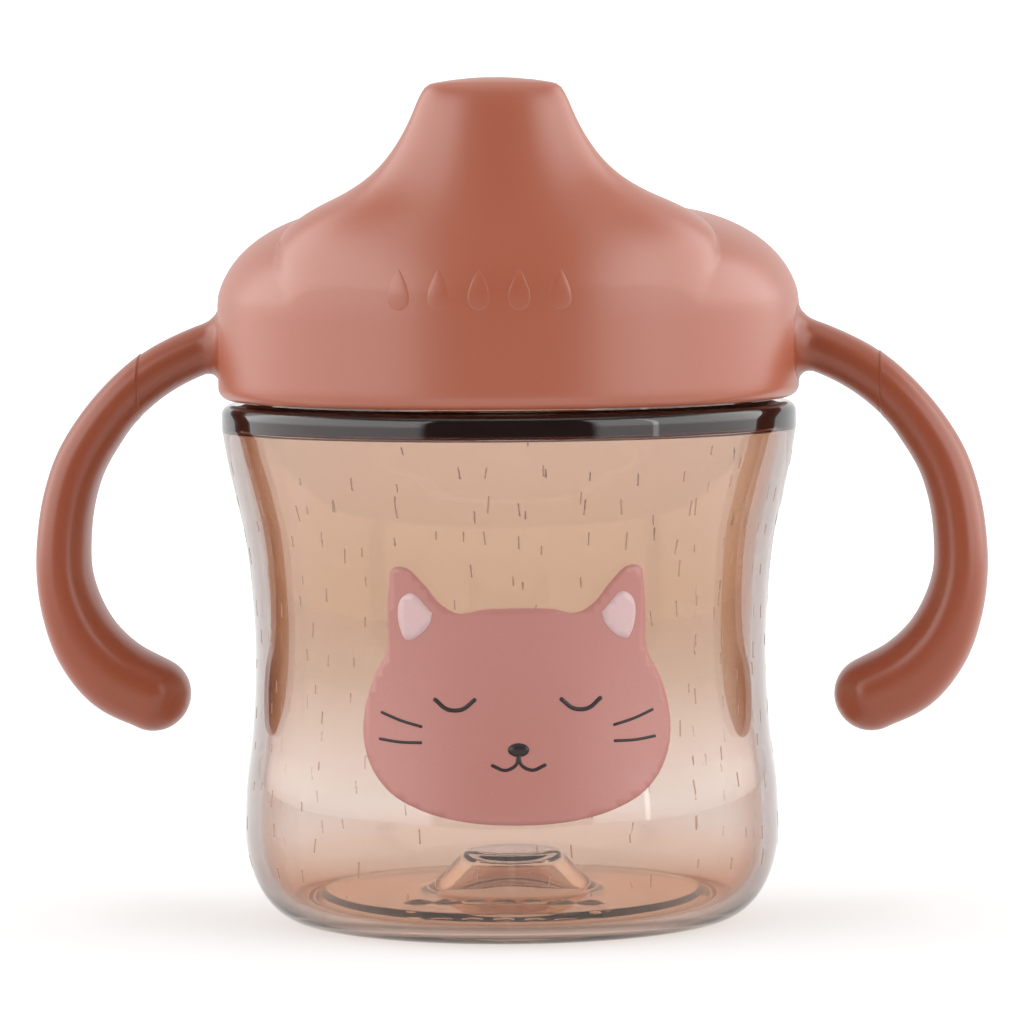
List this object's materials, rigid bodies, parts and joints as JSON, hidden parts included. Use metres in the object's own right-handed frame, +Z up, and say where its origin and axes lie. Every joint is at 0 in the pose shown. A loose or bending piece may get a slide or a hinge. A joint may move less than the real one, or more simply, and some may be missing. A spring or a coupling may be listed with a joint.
{
  "type": "sippy cup",
  "caption": "Two-handled sippy cup: clear waisted cup with a screw-on domed lid, flat spout, curved side grips, seal ring and pull-off non-spill valve.",
  "frame": {"origin": "on the cup's axis, in the plane of the foot that it stands on", "axes": "+Z up along the cup's axis, -Y towards the spout, +X towards the right handle when looking at the spout from the front"},
  "size_m": [0.1234, 0.075, 0.1082],
  "materials": {
    "clear_copolyester": "clear, gloss, faint warm tint",
    "pink_polypropylene": "satin",
    "pink_grip": "gloss",
    "silicone": "matte, translucent white"
  },
  "bodies": {
    "cup": {"cup_body": "clear_copolyester"},
    "seal": {"seal_ring": "silicone"},
    "lid": {"lid_shell": "pink_polypropylene", "left_handle": "pink_grip", "right_handle": "pink_grip"},
    "valve": {"valve": "silicone"}
  },
  "joints": [
    {"name": "lid_lift", "type": "slide", "parent": "cup", "child": "seal", "axis": [0, 0, 1], "range_m": [0, 0.01801]},
    {"name": "lid_turn", "type": "hinge", "parent": "seal", "child": "lid", "pos_m": [0, 0, 0.0774], "axis": [0, 0, 1], "range_deg": [0, 540]},
    {"name": "valve_pull", "type": "slide", "parent": "lid", "child": "valve", "axis": [0, 0, -1], "range_m": [0, 0.012]}
  ],
  "couplings": [
    {"joint": "lid_lift", "follows": "lid_turn", "m_per_rad": 0.0019099}
  ]
}
